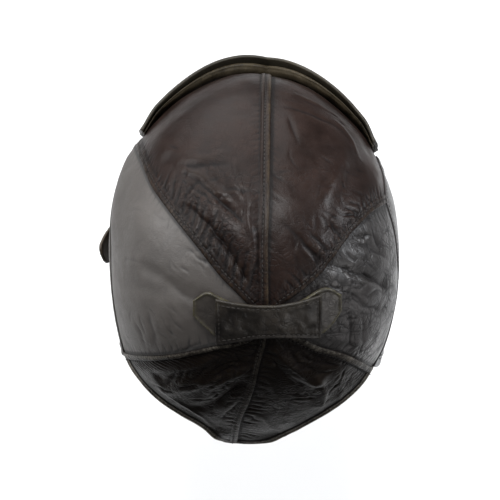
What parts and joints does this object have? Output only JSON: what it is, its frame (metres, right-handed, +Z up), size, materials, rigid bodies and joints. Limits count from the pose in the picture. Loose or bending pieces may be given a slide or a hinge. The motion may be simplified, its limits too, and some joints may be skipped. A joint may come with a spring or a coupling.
{
  "type": "leather flying helmet",
  "caption": "Close-fitting leather flying helmet of sewn panels with a padded brow band, ear flaps and a buckled chin strap.",
  "frame": {"origin": "the highest point inside the crown, where it rests on a head", "axes": "+Z up out of the crown, -Y to the front, +X to the wearer's left"},
  "size_m": [0.1792, 0.1993, 0.2397],
  "materials": {
    "front_leather": "worn dark red-brown hide, semi-gloss",
    "side_leather": "smooth grey-brown hide with a bluish sheen",
    "back_leather": "near-black brown hide, creased",
    "worn_leather": "rubbed olive-brown hide, duller",
    "strap_leather": "dark brown hide, scuffed edges",
    "brass": "dull old brass"
  },
  "bodies": {
    "root": {"front_panel_left": "front_leather", "front_panel_right": "front_leather", "side_panel_left": "side_leather", "side_panel_right": "side_leather", "back_panel_left": "back_leather", "back_panel_right": "back_leather", "ear_flap_left": "side_leather", "ear_flap_right": "side_leather", "brow_band": "front_leather", "brow_roll": "worn_leather", "tab_base": "worn_leather", "tab_strap": "strap_leather", "chin_strap": "strap_leather", "buckle_frame": "brass", "buckle_prong": "brass", "buckle_tab": "strap_leather", "strap_loop": "strap_leather"}
  },
  "joints": []
}
